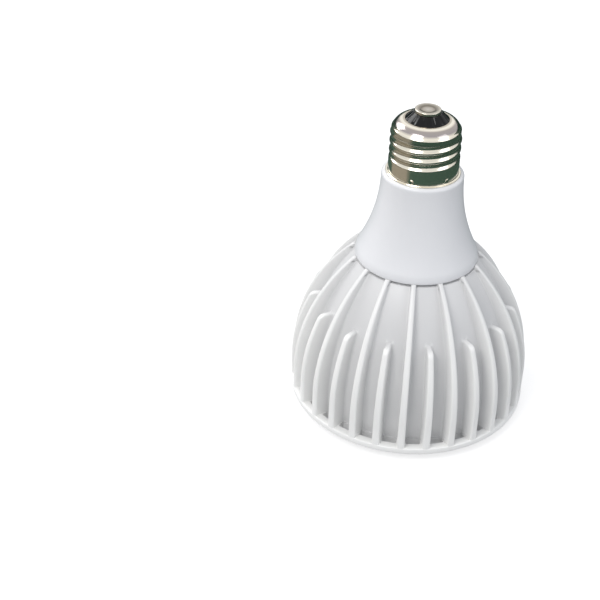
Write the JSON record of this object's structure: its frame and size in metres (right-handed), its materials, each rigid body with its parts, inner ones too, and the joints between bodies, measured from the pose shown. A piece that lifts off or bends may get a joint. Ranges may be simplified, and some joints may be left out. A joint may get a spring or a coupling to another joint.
{
  "type": "led grow light bulb",
  "caption": "Reflector-style LED grow lamp with a finned white heat sink, slotted rim, faceted lens and a standard screw base.",
  "frame": {"origin": "on the lamp's axis, on the surface that the front bezel stands on", "axes": "+Z along the lamp's axis from the lens to the screw base, +X along a long fin, so -Y is the side seen in the picture"},
  "size_m": [0.095, 0.095, 0.1262],
  "materials": {
    "white_paint": "satin white powder coat on cast aluminium",
    "white_plastic": "smooth white moulded polycarbonate",
    "nickel": "bright nickel plate on rolled sheet",
    "black_glass": "glossy black insulator",
    "clear_lens": "clear moulded lens with a faceted ring",
    "reflector": "bright metallised plastic",
    "ceramic": "white ceramic board",
    "phosphor": "yellow phosphor in silicone",
    "thermal_grease": "grey heat-conducting pad",
    "screw_steel": "zinc-plated steel",
    "circuit_board": "green glass-epoxy board",
    "ferrite": "dark grey ferrite",
    "winding_tape": "yellow polyester tape",
    "capacitor_sleeve": "dark shrink sleeve",
    "film_case": "dipped red-brown case",
    "chip_plastic": "black moulding compound",
    "resistor_body": "lacquered ceramic body",
    "red_lead": "red lead insulation",
    "black_lead": "black lead insulation"
  },
  "bodies": {
    "root": {"heat_sink": "white_paint", "driver_housing": "white_plastic", "screw_shell": "nickel", "insulator": "black_glass", "centre_contact": "nickel", "front_bezel": "white_plastic", "front_lens": "clear_lens", "reflector_cup": "reflector", "source_board": "ceramic", "phosphor": "phosphor", "thermal_pad": "thermal_grease", "board_screws": "screw_steel", "housing_screws": "screw_steel", "driver_board": "circuit_board", "transformer_core": "ferrite", "transformer_winding": "winding_tape", "input_capacitor": "capacitor_sleeve", "output_capacitor": "capacitor_sleeve", "choke": "ferrite", "film_capacitor": "film_case", "driver_chip": "chip_plastic", "bridge_rectifier": "chip_plastic", "fuse_resistor": "resistor_body", "source_lead_positive": "red_lead", "source_lead_negative": "black_lead", "live_lead": "red_lead", "neutral_lead": "black_lead"}
  },
  "joints": []
}
